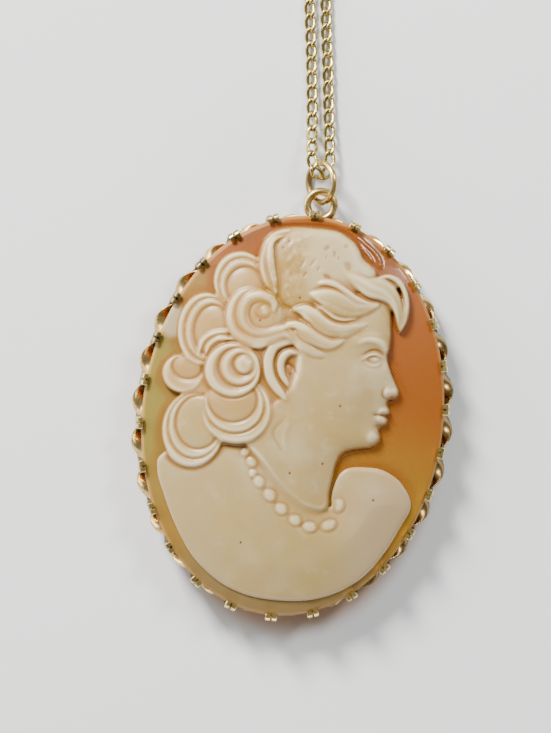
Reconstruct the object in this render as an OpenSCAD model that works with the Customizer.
/* [Cameo] */
// Width of the cameo across its oval
shell_w = 30; // [26:0.5:34]
// Height of the cameo along its oval
shell_h = 40; // [36:0.5:46]
// Thickness of the cameo's rim
rim_t = 1.3; // [1:0.1:2]
// Rise of the domed ground from the rim to the middle
dome_rise = 2.6; // [1.8:0.1:3.4]
// Thickness of the cameo under its ground, at the middle
shell_t = 1.8; // [1.4:0.1:2.4]
// Height of the tallest curl above the ground
relief_h = 1.6; // [1.2:0.1:2]
// Thickness of the bust's cut edge above the ground
bust_t = 0.7; // [0.5:0.05:0.85]

/* [Setting] */
// Width of the twisted ribbon
ribbon_w = 2.3; // [1.8:0.1:2.8]
// Thickness of the twisted ribbon
ribbon_t = 0.45; // [0.35:0.05:0.6]
// How far the ribbon's oval stays inside the cameo's edge at the two ends
ribbon_end_in = 0.9; // [0.5:0.1:1.2]
// Number of claws, and of half twists of the ribbon between them
claw_count = 26; // [20:2:30]
// Width of a claw
claw_w = 1; // [0.8:0.05:1.2]
// Thickness of a claw
claw_t = 0.45; // [0.35:0.05:0.6]
// How far a claw laps over the cameo's rim
claw_lap = 0.35; // [0.2:0.05:0.6]
// Width of the back rail
rail_w = 1.3; // [1:0.1:1.8]
// Thickness of the back rail
rail_t = 0.6; // [0.4:0.1:0.9]
// Outer diameter of the soldered top ring
top_ring_d = 3.5; // [3.3:0.1:4]
// Wire of the soldered top ring
top_ring_wire = 0.8; // [0.7:0.05:0.85]

/* [Chain] */
// Outer diameter of the jump ring
jump_ring_d = 4.6; // [4.4:0.1:5]
// Wire of the jump ring
jump_ring_wire = 0.65; // [0.55:0.05:0.7]
// Width of the chain
chain_w = 1.25; // [1:0.05:1.3]
// Height of the chain where it lies flat
chain_t = 0.9; // [0.7:0.05:1]
// Outer diameter of the clasp
clasp_d = 6.5; // [5.5:0.5:8]
// Wire of the clasp
clasp_wire = 1.1; // [0.9:0.1:1.4]

/* [Hidden] */

gap = 0.1;
layer_gap = 0.05;
sink = 0.35;
oval_sides = 48;
ground_sides = 34;
curl_sides = 12;

// Heights above the surface that the pendant lies on
ribbon_z = rail_t + ribbon_w / 2;
rim_low = rail_t + ribbon_w + gap;
rim_top = rim_low + rim_t;
crown_z = rim_top + dome_rise;

// Columns of the tables of the relief: places and radii are shares of the cameo's width and height,
// tops are shares of the relief's height, and turns are degrees
PX = 0;
PY = 1;
RX = 2;
RY = 3;
TURN = 4;
TOP = 5;

// Curls of the hair from the nape up to the crest: the outer oval, then the place of its eye, the eye's
// size as a share of the outer oval's, and how many turns lie between the two
EYE_X = 6;
EYE_Y = 7;
EYE_SIZE = 8;
TURNS = 9;
curls = [
    [-0.327, -0.062, 0.102, 0.092, 0, 0.62, -0.315, -0.046, 0.60, 3],
    [-0.387, 0.072, 0.068, 0.050, -15, 0.62, -0.374, 0.083, 0.58, 2],
    [-0.328, 0.188, 0.092, 0.093, -8, 0.66, -0.312, 0.196, 0.62, 3],
    [-0.230, 0.318, 0.093, 0.076, 0, 0.70, -0.222, 0.310, 0.62, 2],
    [-0.072, 0.132, 0.058, 0.064, -20, 0.84, -0.056, 0.146, 0.50, 2],
    [-0.192, -0.004, 0.116, 0.084, 0, 0.74, -0.200, 0.022, 0.64, 3],
    [-0.169, 0.234, 0.100, 0.076, 0, 0.84, -0.142, 0.258, 0.26, 4],
    [-0.219, 0.095, 0.094, 0.071, 0, 0.84, -0.188, 0.112, 0.32, 4],
];
rosette = 7;

// Broad swellings of the head, the hair above it, the neck, the bust and the shoulder
swellings = [
    [0.090, 0.130, 0.280, 0.270, 0, 0.86],
    [0.020, 0.270, 0.190, 0.140, -12, 0.92],
    [0.020, -0.130, 0.184, 0.192, 12, 0.74],
    [-0.030, -0.300, 0.460, 0.220, 0, 0.66],
    [0.290, -0.190, 0.197, 0.138, -25, 0.64],
];
cap = [-0.004, 0.380, 0.170, 0.093, 0, 0.80];

// Small forms of a plain classical face: lids, eye, wing and tip of the nose, lips and chin
face_forms = [
    [0.232, 0.203, 0.052, 0.011, 8, 0.90],
    [0.236, 0.183, 0.036, 0.008, 12, 0.92],
    [0.238, 0.168, 0.026, 0.012, 0, 0.88],
    [0.232, 0.153, 0.034, 0.006, -8, 0.88],
    [0.296, 0.085, 0.018, 0.014, 0, 0.80],
    [0.318, 0.100, 0.014, 0.016, 0, 0.66],
    [0.290, 0.043, 0.026, 0.009, 14, 0.76],
    [0.286, 0.016, 0.026, 0.010, -12, 0.74],
    [0.268, -0.026, 0.030, 0.022, 0, 0.72],
];

// Flat pits of the cap
cap_pits = [
    [0.040, 0.424, 0.015, 0.012, 0],
    [0.068, 0.411, 0.010, 0.012, 20],
    [0.103, 0.430, 0.010, 0.008, 0],
    [0.113, 0.386, 0.014, 0.014, 0],
    [0.047, 0.356, 0.015, 0.009, 0],
    [-0.003, 0.386, 0.008, 0.016, -35],
    [0.020, 0.371, 0.008, 0.012, 0],
];

// Leaves of the strip beside the cap, from its top down to the curls
leaf_row = [
    [-0.060, 0.436, 0.024, 0.012, 30, 0.86],
    [-0.072, 0.412, 0.026, 0.012, 30, 0.88],
    [-0.060, 0.388, 0.026, 0.012, 30, 0.90],
    [-0.075, 0.364, 0.026, 0.012, 30, 0.92],
    [-0.060, 0.340, 0.024, 0.012, 30, 0.92],
    [-0.078, 0.318, 0.022, 0.011, 30, 0.92],
];

// Beads of the necklace: place, radius as a share of the cameo's width, and top
BEAD_R = 2;
BEAD_TOP = 3;
bead_row = [
    [-0.143, -0.105, 0.016, 0.64],
    [-0.117, -0.127, 0.017, 0.66],
    [-0.108, -0.152, 0.015, 0.68],
    [-0.085, -0.173, 0.019, 0.72],
    [-0.047, -0.201, 0.020, 0.74],
    [-0.002, -0.233, 0.020, 0.74],
    [0.050, -0.255, 0.020, 0.74],
    [0.097, -0.265, 0.020, 0.74],
    [0.163, -0.254, 0.021, 0.74],
    [0.185, -0.201, 0.020, 0.72],
];

// Locks of hair: each row of a lock gives its place, half width and top
LOCK_W = 2;
LOCK_TOP = 3;
locks = [
    [[0.010, 0.330, 0.016, 1.00], [0.067, 0.336, 0.022, 1.06], [0.147, 0.312, 0.020, 1.06],
        [0.187, 0.303, 0.018, 1.02], [0.250, 0.309, 0.010, 0.90]],
    [[-0.010, 0.302, 0.028, 1.00], [0.067, 0.303, 0.038, 1.12], [0.107, 0.291, 0.036, 1.12],
        [0.150, 0.278, 0.026, 1.08], [0.205, 0.278, 0.008, 0.90]],
    [[-0.050, 0.264, 0.026, 1.00], [0.027, 0.256, 0.036, 1.12], [0.060, 0.238, 0.036, 1.12],
        [0.100, 0.224, 0.026, 1.08], [0.155, 0.230, 0.008, 0.88]],
    [[-0.080, 0.232, 0.022, 0.98], [-0.017, 0.222, 0.030, 1.10], [0.013, 0.204, 0.030, 1.10],
        [0.050, 0.186, 0.024, 1.06], [0.110, 0.182, 0.008, 0.86]],
    [[-0.115, 0.198, 0.016, 0.96], [-0.060, 0.203, 0.024, 1.04], [-0.027, 0.184, 0.024, 1.04],
        [0.007, 0.160, 0.020, 1.00], [0.058, 0.150, 0.008, 0.84]],
    [[-0.105, 0.280, 0.010, 0.90], [-0.130, 0.330, 0.020, 0.92], [-0.146, 0.375, 0.026, 0.88],
        [-0.142, 0.420, 0.026, 0.80], [-0.105, 0.452, 0.014, 0.66]],
    [[0.150, 0.390, 0.020, 0.86], [0.233, 0.361, 0.032, 0.86], [0.282, 0.347, 0.028, 0.84],
        [0.310, 0.320, 0.020, 0.76], [0.318, 0.285, 0.013, 0.70], [0.306, 0.242, 0.004, 0.56]],
    [[0.150, 0.356, 0.016, 0.92], [0.220, 0.334, 0.020, 0.94], [0.265, 0.330, 0.018, 0.90],
        [0.294, 0.306, 0.006, 0.74]],
    [[-0.105, 0.105, 0.028, 0.80], [-0.068, 0.074, 0.026, 0.88], [-0.037, 0.050, 0.012, 0.82],
        [-0.020, 0.034, 0.004, 0.72]],
];

// Profile of a plain classical head and neck, from the hairline down to the necklace and back
profile = [
    [0.262, 0.318], [0.280, 0.270], [0.285, 0.225], [0.289, 0.198], [0.283, 0.176],
    [0.306, 0.135], [0.338, 0.096], [0.334, 0.080], [0.304, 0.070], [0.305, 0.056],
    [0.316, 0.042], [0.302, 0.030], [0.311, 0.017], [0.287, 0.001], [0.297, -0.022],
    [0.284, -0.044], [0.250, -0.056], [0.180, -0.070], [0.162, -0.090], [0.153, -0.140],
    [0.147, -0.212], [-0.060, -0.240], [-0.140, -0.100], [-0.150, 0.220], [-0.110, 0.360], [0.100, 0.370],
];

// Edge of the bust, from the cut beside the neck round the shoulder and back to the nape
bust = [
    [0.152, -0.210], [0.162, -0.165], [0.176, -0.122], [0.210, -0.106], [0.260, -0.101],
    [0.320, -0.104], [0.380, -0.130], [0.418, -0.172], [0.414, -0.232], [0.372, -0.305],
    [0.315, -0.364], [0.240, -0.414], [0.140, -0.447], [0.020, -0.460], [-0.095, -0.452],
    [-0.190, -0.425], [-0.277, -0.372], [-0.347, -0.298], [-0.393, -0.232], [-0.426, -0.170],
    [-0.410, -0.125], [-0.250, -0.070], [-0.100, -0.080], [0.050, -0.160],
];

// Route of the chain: across and along from the jump ring's middle, in the direction the chain
// leaves it, and its lift as a share of the jump ring's height above the lying chain
chain_lean = 7.2;
ring_tilt = 52;
ring_lean = 10;
ACROSS = 0;
ALONG = 1;
LIFT = 2;
chain_route = [
    [-5.05, 191, 0], [-14, 189, 0], [-29, 180, 0], [-42.5, 164, 0], [-51, 144, 0],
    [-52, 120, 0], [-45, 98, 0], [-35.5, 81, 0], [-24.5, 65, 0], [-13.5, 50, 0],
    [-6, 38, 0], [-2.2, 28.5, 0], [-1.3, 20, 0], [-0.95, 11, 0], [-0.9, 6.4, 0.25],
    [-0.92, 4, 0.85], [-0.94, 2.4, 1.34], [-0.66, 1.2, 1.38], [0, 0.72, 1], [0.62, 1.1, 0.65],
    [0.84, 2.3, 0.55], [0.84, 4, 0.35], [0.8, 6.4, 0.1], [0.7, 11, 0], [0.45, 20, 0],
    [0.9, 28.5, 0], [4.2, 38, 0], [11.5, 50, 0], [22.5, 65, 0], [34, 81, 0], [44, 98, 0],
    [51.5, 120, 0], [51, 144, 0], [42.5, 164, 0], [29, 180, 0], [14, 189, 0], [5.05, 191, 0],
];

// Arc length round the ribbon's oval, against the angle from its right-hand end
arc_steps = 180;
ribbon_a = shell_w / 2;
ribbon_b = shell_h / 2 - ribbon_end_in;
function oval(a, b, t) = [a * cos(t), b * sin(t)];
function step_len(i) = norm(oval(ribbon_a, ribbon_b, i * 360 / arc_steps)
    - oval(ribbon_a, ribbon_b, (i - 1) * 360 / arc_steps));
arc_table = [for (i = 0, s = 0; i <= arc_steps; i = i + 1, s = s + step_len(i)) [s, i * 360 / arc_steps]];
oval_len = arc_table[arc_steps][0];
first_claw = 0.2535;
function ribbon_angle(share) = let (s = share + first_claw)
    lookup((s - floor(s)) * oval_len, arc_table);
function outward(t) = let (n = [ribbon_b * cos(t), ribbon_a * sin(t)]) n / norm(n);

// Places of the rings, in the cameo's own frame
top_ring_at = [0.15, shell_h / 2 + top_ring_d / 2 - 0.55];
jump_ring_r = (jump_ring_d - jump_ring_wire) / 2;
ring_z = max(ribbon_z, jump_ring_r * sin(ring_tilt) + jump_ring_wire / 2 + 0.04);
jump_ring_at = top_ring_at + [0.1, 0.3] + jump_ring_r * [-sin(ring_lean), cos(ring_lean)];

// Points of the chain's route in the cameo's own frame
function leaned(p) = jump_ring_at + [
    p[ACROSS] * cos(chain_lean) - p[ALONG] * sin(chain_lean),
    p[ACROSS] * sin(chain_lean) + p[ALONG] * cos(chain_lean)];
function route_point(p) = let (q = leaned(p))
    [q.x, q.y, chain_t / 2 + p[LIFT] * (ring_z - chain_t / 2)];
function on_floor(p) = [p.x, p.y, max(p.z, chain_t / 2)];
function spline(a, b, c, d, t) = 0.5 * (2 * b + (c - a) * t + (2 * a - 5 * b + 4 * c - d) * t * t
    + (3 * b - a - 3 * c + d) * t * t * t);
function open_curve(p, steps) = let (n = len(p)) [
    for (i = [0 : n - 2]) for (s = [0 : steps - 1])
        spline(p[max(i - 1, 0)], p[i], p[i + 1], p[min(i + 2, n - 1)], s / steps),
    p[n - 1]];
function closed_curve(p, steps) = let (n = len(p)) [
    for (i = [0 : n - 1]) for (s = [0 : steps - 1])
        spline(p[(i + n - 1) % n], p[i], p[(i + 1) % n], p[(i + 2) % n], s / steps)];
chain_line = [for (p = open_curve([for (q = chain_route) route_point(q)], 2)) on_floor(p)];

// The origin is under the middle of the whole jewel's box
xs = concat([for (p = chain_line) p.x], [-shell_w / 2 - 1, shell_w / 2 + 1]);
ys = concat([for (p = chain_line) p.y], [-shell_h / 2 - 0.9]);
clasp_at = (route_point(chain_route[0]) + route_point(chain_route[len(chain_route) - 1])) / 2;
box_top = max(max(ys), clasp_at.y + clasp_d / 2);
middle = [(min(xs) + max(xs)) / 2, (min(ys) + box_top) / 2, 0];

// Height of the ground, and its slope, in the cameo's own frame
half_w = shell_w / 2;
half_h = shell_h / 2;
function ground_z(x, y) = rim_top + dome_rise * (1 - pow(x / half_w, 2) - pow(y / half_h, 2));
function slope(x, half) = -2 * dome_rise * x / (half * half);
function place(row) = [row[PX] * shell_w, row[PY] * shell_h];

module in_place() {
    translate(-middle) children();
}

// Leans its children over to follow the ground at a place
module on_ground(at) {
    x = at.x;
    y = at.y;
    multmatrix([[1, 0, 0, x], [0, 1, 0, y],
        [slope(x, half_w), slope(y, half_h), 1, ground_z(x, y)], [0, 0, 0, 1]]) children();
}

// A closed skin over rings that all have the same number of points
module skin(rings, closed = false) {
    n = len(rings);
    m = len(rings[0]);
    last = closed ? n - 1 : n - 2;
    sides = [for (i = [0 : last]) for (j = [0 : m - 1])
        [i * m + j, i * m + (j + 1) % m, ((i + 1) % n) * m + (j + 1) % m, ((i + 1) % n) * m + j]];
    caps = closed ? [] : [[for (j = [m - 1 : -1 : 0]) j], [for (j = [0 : m - 1]) (n - 1) * m + j]];
    polyhedron([for (r = rings) each r], concat(sides, caps), convexity = 10);
}

// A solid of an oval plan whose domed top lies a height above the ground
module dome(lift, low) {
    steps = 6;
    top = [for (i = [steps : -1 : 0]) let (r = i / steps) [r, rim_top + lift + dome_rise * (1 - r * r)]];
    scale([half_w, half_h, 1]) rotate_extrude($fn = oval_sides) polygon(concat([[0, low], [1, low]], top));
}

// The orange layer: rim, domed ground and hollow back
module shell_ground() {
    steps = 6;
    back_steps = 3;
    seat = 1 - 1.2 / half_w;
    edge = 0.25;
    bevel = edge / half_w;
    hollow_top = crown_z - shell_t;
    top = [for (i = [0 : steps]) let (r = (1 - bevel) * i / steps) [r, rim_top + dome_rise * (1 - r * r)]];
    back = [for (i = [0 : back_steps]) let (r = i / back_steps)
        [seat * r, rim_low + (hollow_top - rim_low) * (1 - r * r)]];
    color("peru") in_place() scale([half_w, half_h, 1]) rotate_extrude($fn = ground_sides)
        polygon(concat(back, [[1 - bevel, rim_low], [1, rim_low + edge], [1, rim_top - edge]],
            [for (i = [steps : -1 : 0]) top[i]]));
}

// A form turned about its middle, its radius a share of a row's radii, standing on the ground
module turned(row, sides, spin = 0) {
    on_ground(place(row)) rotate(row[TURN]) scale([row[RX] * shell_w, row[RY] * shell_h, 1])
        rotate(spin) rotate_extrude($fn = sides) children();
}

// A domed oval cushion with a rounded shoulder
module cushion(row, sides, spin = 0) {
    t = row[TOP] * relief_h;
    drop = 0.2 * relief_h;
    turned(row, sides, spin)
        polygon([[0, -sink], [1, -sink], [1, t - drop], [0.86, t - 0.3 * drop], [0.5, t], [0, t]]);
}

// A raised oval rim round a sunk floor: one turn of a curl
module rim(row, sides, spin = 0) {
    t = row[TOP] * relief_h;
    drop = 0.2 * relief_h;
    turned(row, sides, spin)
        polygon([[0, -sink], [1, -sink], [1, t - drop], [0.94, t], [0.85, t], [0.75, t - 0.9 * drop],
            [0, t - 0.9 * drop]]);
}

// A curl: rims that shrink and drift from its outer oval to its eye
module curl(row) {
    n = row[TURNS] - 1;
    for (k = [0 : n]) {
        share = k / n;
        size = 1 + (row[EYE_SIZE] - 1) * share;
        turn_row = [
            row[PX] + (row[EYE_X] - row[PX]) * share, row[PY] + (row[EYE_Y] - row[PY]) * share,
            row[RX] * size, row[RY] * size, row[TURN], row[TOP] + 0.03 * k];
        if (k < n) rim(turn_row, k == 0 ? curl_sides + 4 : curl_sides, 7 * k);
        else cushion(turn_row, curl_sides, 7 * k);
    }
}

// A broad oval swelling that follows the ground and fades out at its edge
module swelling(row) {
    steps = [[1, -sink / relief_h], [1, 0.5], [0.8, 0.76], [0.5, 0.94], [0.05, 1]];
    sides = 20;
    function spot(size, a) = let (x = size * row[RX] * shell_w * cos(a), y = size * row[RY] * shell_h * sin(a))
        place(row) + [x * cos(row[TURN]) - y * sin(row[TURN]), x * sin(row[TURN]) + y * cos(row[TURN])];
    skin([for (q = steps) [for (j = [0 : sides - 1]) let (p = spot(q[0], -j * 360 / sides))
        [p.x, p.y, ground_z(p.x, p.y) + q[1] * row[TOP] * relief_h]]]);
}

// A lock of hair with a rounded back, swept along its rows
module lock(rows) {
    line = open_curve(rows, 2);
    n = len(line);
    function mid(i) = [line[i][PX] * shell_w, line[i][PY] * shell_h];
    function side(i) = let (d = mid(min(i + 1, n - 1)) - mid(max(i - 1, 0))) [-d.y, d.x] / norm(d);
    function at(i, u, h) = let (q = mid(i) + side(i) * u * line[i][LOCK_W] * shell_w)
        [q.x, q.y, ground_z(q.x, q.y) + h];
    skin([for (i = [0 : n - 1]) let (t = line[i][LOCK_TOP] * relief_h)
        [at(i, -1, -sink), at(i, -0.8, 0.82 * t), at(i, 0, t), at(i, 0.8, 0.82 * t), at(i, 1, -sink)]]);
}

module oval_at(row, size) {
    translate(place(row)) rotate(row[TURN])
        scale([row[RX] * shell_w, row[RY] * shell_h] * size) circle($fn = 11);
}

// Outline of the figure's thickness on the ground: it stays inside the curls and the cap
module figure_outline() {
    inside = 0.6;
    polygon([for (p = closed_curve(profile, 2)) [p.x * shell_w, p.y * shell_h]]);
    polygon([for (p = closed_curve(bust, 2)) [p.x * shell_w, p.y * shell_h]]);
    oval_at(cap, inside);
    for (row = curls)
        hull() {
            oval_at(row, inside);
            oval_at(curls[rosette], inside);
        }
}

module necklace() {
    for (row = bead_row)
        let (r = row[BEAD_R] * shell_w)
            on_ground(place(row)) rotate_extrude($fn = 8) let (t = row[BEAD_TOP] * relief_h)
                polygon([[0, 0], [r, 0], [r, t - r], [0.75 * r, t - 0.35 * r], [0, t]]);
}

module cap_with_pits() {
    difference() {
        cushion(cap, 24);
        for (row = cap_pits)
            on_ground(place(row)) translate([0, 0, cap[TOP] * relief_h]) rotate(row[TURN])
                scale([row[RX] * shell_w, row[RY] * shell_h, 0.4]) sphere(1, $fn = 8);
    }
    for (row = leaf_row) cushion(row, 7);
}

// The pale layer: a figure that stands on the ground inside its outline
module shell_figure() {
    color("antiquewhite") in_place() difference() {
        union() {
            intersection() {
                translate([0, 0, rim_low]) linear_extrude(rim_t + dome_rise + relief_h * 2) figure_outline();
                union() {
                    dome(bust_t, rim_low);
                    for (row = swellings) swelling(row);
                    for (row = face_forms) cushion(row, 9);
                }
            }
            cap_with_pits();
            for (row = curls) curl(row);
            for (rows = locks) lock(rows);
            necklace();
        }
        scale([1.01, 1.01, 1]) dome(layer_gap, rim_low - 1);
    }
}

// The twisted ribbon: one half twist between each two claws, on edge at the claws
module ribbon() {
    per_twist = 6;
    count = claw_count * per_twist;
    half = [ribbon_w / 2, ribbon_t / 2];
    section = [[-1, -1], [1, -1], [1, 1], [-1, 1]];
    skin([for (i = [0 : count - 1])
        let (t = ribbon_angle(i / count), n = outward(t), turn = 90 + 180 * i / per_twist,
            c = oval(ribbon_a, ribbon_b, t))
        [for (q = section) let (u = q.x * half.x, v = q.y * half.y,
            r = u * cos(turn) - v * sin(turn), z = u * sin(turn) + v * cos(turn))
            [c.x + n.x * r, c.y + n.y * r, ribbon_z + z]]], closed = true);
}

// The plain back rail close under the ribbon, which the claws stand on
module back_rail() {
    count = claw_count * 2;
    skin([for (i = [0 : count - 1])
        let (t = ribbon_angle(i / count), n = outward(t), c = oval(ribbon_a, ribbon_b, t))
        [for (q = [[-0.5, 0], [0.5, 0], [0.5, 1], [-0.5, 1]])
            [c.x + n.x * q.x * rail_w, c.y + n.y * q.x * rail_w, q.y * (rail_t - layer_gap)]]], closed = true);
}

// One claw: a strap up the outside of the ribbon, and two tips over the rim
module claw(t) {
    foot = oval(ribbon_a, ribbon_b, t) + outward(t) * ribbon_t / 2;
    edge = oval(half_w, half_h, t);
    n = outward(t);
    half_t = claw_t / 2;
    foot_out = (foot - edge) * n;
    knee_out = gap + half_t;
    knee = edge + n * knee_out;
    tip = edge - n * claw_lap;
    inside_top = [knee.x, knee.y, rim_top + claw_t * 0.45];
    end = [tip.x, tip.y, ground_z(tip.x, tip.y) + gap + half_t];
    side_view = [
        [foot_out - half_t, rail_t / 2 - 0.05], [foot_out + half_t, rail_t / 2 - 0.05],
        [knee_out + half_t, rim_low - 0.35], [knee_out + half_t, rim_top + claw_t * 0.9],
        [knee_out - half_t, rim_top + claw_t * 0.9], [knee_out - half_t, rim_low - 0.25]];
    translate([edge.x, edge.y, 0]) rotate(atan2(n.y, n.x)) rotate([90, 0, 0])
        linear_extrude(claw_w, center = true) polygon(side_view);
    for (side = [-1, 1])
        hull() {
            claw_tip(inside_top, n, side, 0.7);
            claw_tip(end, n, side, 0.95);
        }
}

module claw_tip(at, n, side, size) {
    translate(at) rotate(atan2(n.y, n.x)) translate([0, side * claw_w * 0.27, 0])
        cube([claw_t, claw_w * 0.46, claw_t] * size, center = true);
}

// The ring soldered on the top of the ribbon, in line with the pendant
module top_ring() {
    translate([top_ring_at.x, top_ring_at.y, ribbon_z]) rotate_extrude($fn = 16)
        translate([(top_ring_d - top_ring_wire) / 2, 0]) circle(d = top_ring_wire, $fn = 8);
}

module setting() {
    color("goldenrod") in_place() union() {
        ribbon();
        back_rail();
        for (i = [0 : claw_count - 1]) claw(ribbon_angle(i / claw_count));
        top_ring();
    }
}

module jump_ring() {
    color("gold") in_place() translate([jump_ring_at.x, jump_ring_at.y, ring_z])
        rotate([0, 0, ring_lean]) rotate([0, -ring_tilt, 0]) rotate_extrude($fn = 48)
            translate([jump_ring_r, 0]) circle(d = jump_ring_wire, $fn = 24);
}

// The necklace chain as a tube over its links, from the clasp through the jump ring and back
module chain() {
    n = len(chain_line);
    flat = 1 / cos(22.5) / 2;
    function dir(i) = let (d = chain_line[min(i + 1, n - 1)] - chain_line[max(i - 1, 0)]) d / norm(d);
    color("khaki") in_place() skin([for (i = [0 : n - 1])
        let (c = chain_line[i], d = dir(i), s = [-d.y, d.x, 0] / norm([d.x, d.y]), u = cross(s, d))
        [for (k = [0 : 7]) let (a = -22.5 - k * 45)
            c + s * cos(a) * chain_w * flat - u * sin(a) * chain_t * flat]]);
}

// The clasp: a plain ring with an eye on each side for the chain's ends
module clasp() {
    eye_d = 2.2;
    eye_wire = 0.6;
    mid_r = (clasp_d - clasp_wire) / 2;
    color("gold") in_place() translate([clasp_at.x, clasp_at.y, clasp_wire / 2]) rotate(chain_lean) {
        rotate_extrude($fn = 48) translate([mid_r, 0]) circle(d = clasp_wire, $fn = 24);
        for (side = [-1, 1])
            translate([side * (clasp_d + eye_d) / 2 - side * 0.5, 0, 0]) rotate_extrude($fn = 32)
                translate([(eye_d - eye_wire) / 2, 0]) circle(d = eye_wire, $fn = 20);
    }
}

shell_ground();
shell_figure();
setting();
jump_ring();
chain();
clasp();
